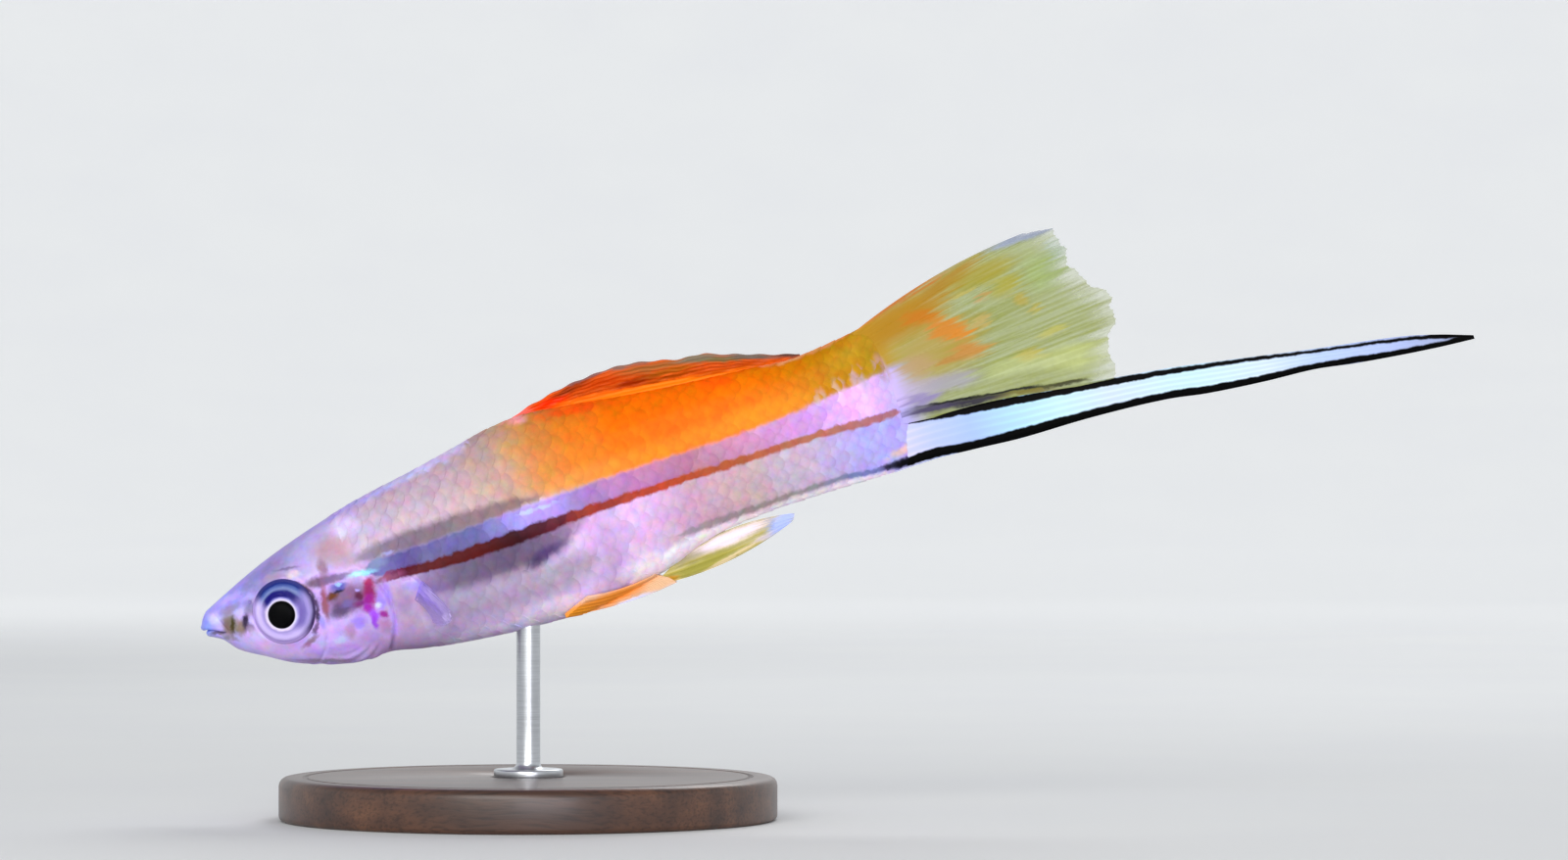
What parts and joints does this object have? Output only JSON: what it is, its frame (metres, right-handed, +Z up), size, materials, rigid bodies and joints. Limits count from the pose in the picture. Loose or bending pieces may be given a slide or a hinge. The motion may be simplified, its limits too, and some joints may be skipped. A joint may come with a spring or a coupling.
{
  "type": "swordtail fish model",
  "caption": "Life-size model of a male swordtail fish, orange and lilac with a long black-edged tail sword, on a round wooden stand with a steel rod.",
  "frame": {"origin": "centre of the stand base's underside, which is the floor", "axes": "+Z up; the fish lies along X with its snout at -X and its sword at +X; its left side faces -Y"},
  "size_m": [0.1176, 0.046, 0.0546],
  "materials": {
    "head_skin": "smooth wet lilac skin with a pearly sheen",
    "trunk_skin": "pearly scaled skin, lilac below and beige to orange above",
    "tail_skin": "pearly scaled skin, orange above and lilac below",
    "fin_orange": "thin rayed fin, orange red",
    "fin_clear": "thin rayed fin, pale yellow green and translucent",
    "sword_blue": "long fin rays, pale blue with black borders",
    "eye": "wet and glossy, black pupil in a silver ring",
    "stand_wood": "dark stained hardwood with a satin varnish",
    "stand_steel": "brushed"
  },
  "bodies": {
    "root": {"head": "head_skin", "lower_jaw": "head_skin", "gill_cover_left": "head_skin", "gill_cover_right": "head_skin", "eye_left": "eye", "eye_right": "eye", "trunk": "trunk_skin", "tail_stalk": "tail_skin", "dorsal_fin": "fin_orange", "caudal_fin": "fin_clear", "sword": "sword_blue", "gonopodium": "fin_clear", "pectoral_fin_left": "fin_clear", "pectoral_fin_right": "fin_clear", "pelvic_fin_left": "fin_orange", "pelvic_fin_right": "fin_orange", "stand_base": "stand_wood", "stand_rod": "stand_steel"}
  },
  "joints": []
}
